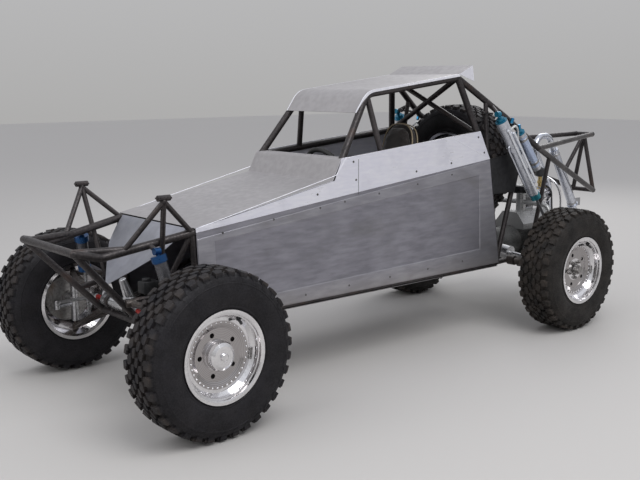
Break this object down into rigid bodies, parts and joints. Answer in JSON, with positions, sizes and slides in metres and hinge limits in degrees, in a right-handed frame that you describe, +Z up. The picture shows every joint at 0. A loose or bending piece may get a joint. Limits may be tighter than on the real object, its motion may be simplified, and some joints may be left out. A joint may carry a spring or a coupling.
{
  "type": "off-road race buggy",
  "caption": "Open single-seat tube-frame desert buggy with bare sheet side panels, steerable front wheels, rear engine and a spare wheel behind the seat.",
  "frame": {"origin": "on the ground, under the middle of the length and on the centre plane", "axes": "+X to the nose, +Y to the driver's left, +Z up"},
  "size_m": [4.297, 1.596, 1.6202],
  "materials": {
    "raw_tube": "matte, bare dark steel with a bloom of rust",
    "bright_sheet": "bare bright sheet",
    "grey_sheet": "bare brushed sheet with smudges",
    "dull_sheet": "bare dull sheet",
    "polished": "polished",
    "tyre": "matte, dusty",
    "brake_steel": "turned steel",
    "seat_cloth": "black",
    "shock_body": "black with blue caps",
    "dark_arm": "matte",
    "bare_steel": "machined",
    "cast_alloy": "as cast",
    "engine_dark": "dark, oily",
    "exhaust_bright": "polished pipe",
    "wheel_grip": "black grip",
    "rack_red": "gloss"
  },
  "bodies": {
    "chassis": {"frame_floor": "raw_tube", "frame_cabin": "raw_tube", "frame_nose": "raw_tube", "frame_rear": "raw_tube", "side_panel_upper_left": "bright_sheet", "side_panel_upper_right": "bright_sheet", "side_panel_lower_left": "grey_sheet", "side_panel_lower_right": "grey_sheet", "hood_panel": "dull_sheet", "roof_panel": "dull_sheet", "nose_panel": "bright_sheet", "rear_side_panels": "grey_sheet", "floor_panel": "grey_sheet", "firewall": "grey_sheet", "seat": "seat_cloth", "spare_rim": "polished", "spare_tyre": "tyre", "spare_carrier": "raw_tube", "front_arms": "dark_arm", "rack_housing": "bare_steel", "rack_mounts": "raw_tube", "steering_column": "raw_tube", "front_shocks": "shock_body", "rear_arms": "dark_arm", "rear_shocks": "shock_body", "transaxle": "cast_alloy", "drive_shafts": "bare_steel", "engine": "engine_dark", "alternator": "cast_alloy", "exhaust_header": "exhaust_bright", "muffler": "exhaust_bright"},
    "steering_wheel": {"steering_wheel": "wheel_grip"},
    "rack": {"rack_bar": "bare_steel", "tie_rods": "bare_steel"},
    "knuckle_left": {"knuckle_left": "bare_steel"},
    "knuckle_right": {"knuckle_right": "bare_steel"},
    "wheel_front_left": {"rim_front_left": "polished", "tyre_front_left": "tyre", "brake_front_left": "brake_steel"},
    "wheel_front_right": {"rim_front_right": "polished", "tyre_front_right": "tyre", "brake_front_right": "brake_steel"},
    "wheel_rear_left": {"rim_rear_left": "polished", "tyre_rear_left": "tyre", "brake_rear_left": "brake_steel"},
    "wheel_rear_right": {"rim_rear_right": "polished", "tyre_rear_right": "tyre", "brake_rear_right": "brake_steel"}
  },
  "joints": [
    {"name": "steering_wheel_turn", "type": "hinge", "parent": "chassis", "child": "steering_wheel", "pos_m": [0.457, 0, 1.01], "axis": [-0.9291, 0, 0.3699], "range_deg": [-260, 260]},
    {"name": "rack_slide", "type": "slide", "parent": "chassis", "child": "rack", "axis": [0, 1, 0], "range_m": [-0.0495, 0.0495]},
    {"name": "knuckle_left_turn", "type": "hinge", "parent": "chassis", "child": "knuckle_left", "pos_m": [1.719, 0.612, 0.375], "axis": [0, 0, 1], "range_deg": [-26.5, 26.5]},
    {"name": "knuckle_right_turn", "type": "hinge", "parent": "chassis", "child": "knuckle_right", "pos_m": [1.719, -0.612, 0.375], "axis": [0, 0, 1], "range_deg": [-26.5, 26.5]},
    {"name": "wheel_front_left_spin", "type": "hinge", "parent": "knuckle_left", "child": "wheel_front_left", "pos_m": [1.719, 0.6775, 0.375], "axis": [0, 1, 0], "continuous": true},
    {"name": "wheel_front_right_spin", "type": "hinge", "parent": "knuckle_right", "child": "wheel_front_right", "pos_m": [1.719, -0.6775, 0.375], "axis": [0, 1, 0], "continuous": true},
    {"name": "wheel_rear_left_spin", "type": "hinge", "parent": "chassis", "child": "wheel_rear_left", "pos_m": [-0.971, 0.659, 0.375], "axis": [0, 1, 0], "continuous": true},
    {"name": "wheel_rear_right_spin", "type": "hinge", "parent": "chassis", "child": "wheel_rear_right", "pos_m": [-0.971, -0.659, 0.375], "axis": [0, 1, 0], "continuous": true}
  ],
  "couplings": [
    {"joint": "rack_slide", "follows": "steering_wheel_turn", "m_per_rad": 0.0108},
    {"joint": "knuckle_left_turn", "follows": "steering_wheel_turn", "ratio": 0.1},
    {"joint": "knuckle_right_turn", "follows": "steering_wheel_turn", "ratio": 0.1}
  ]
}
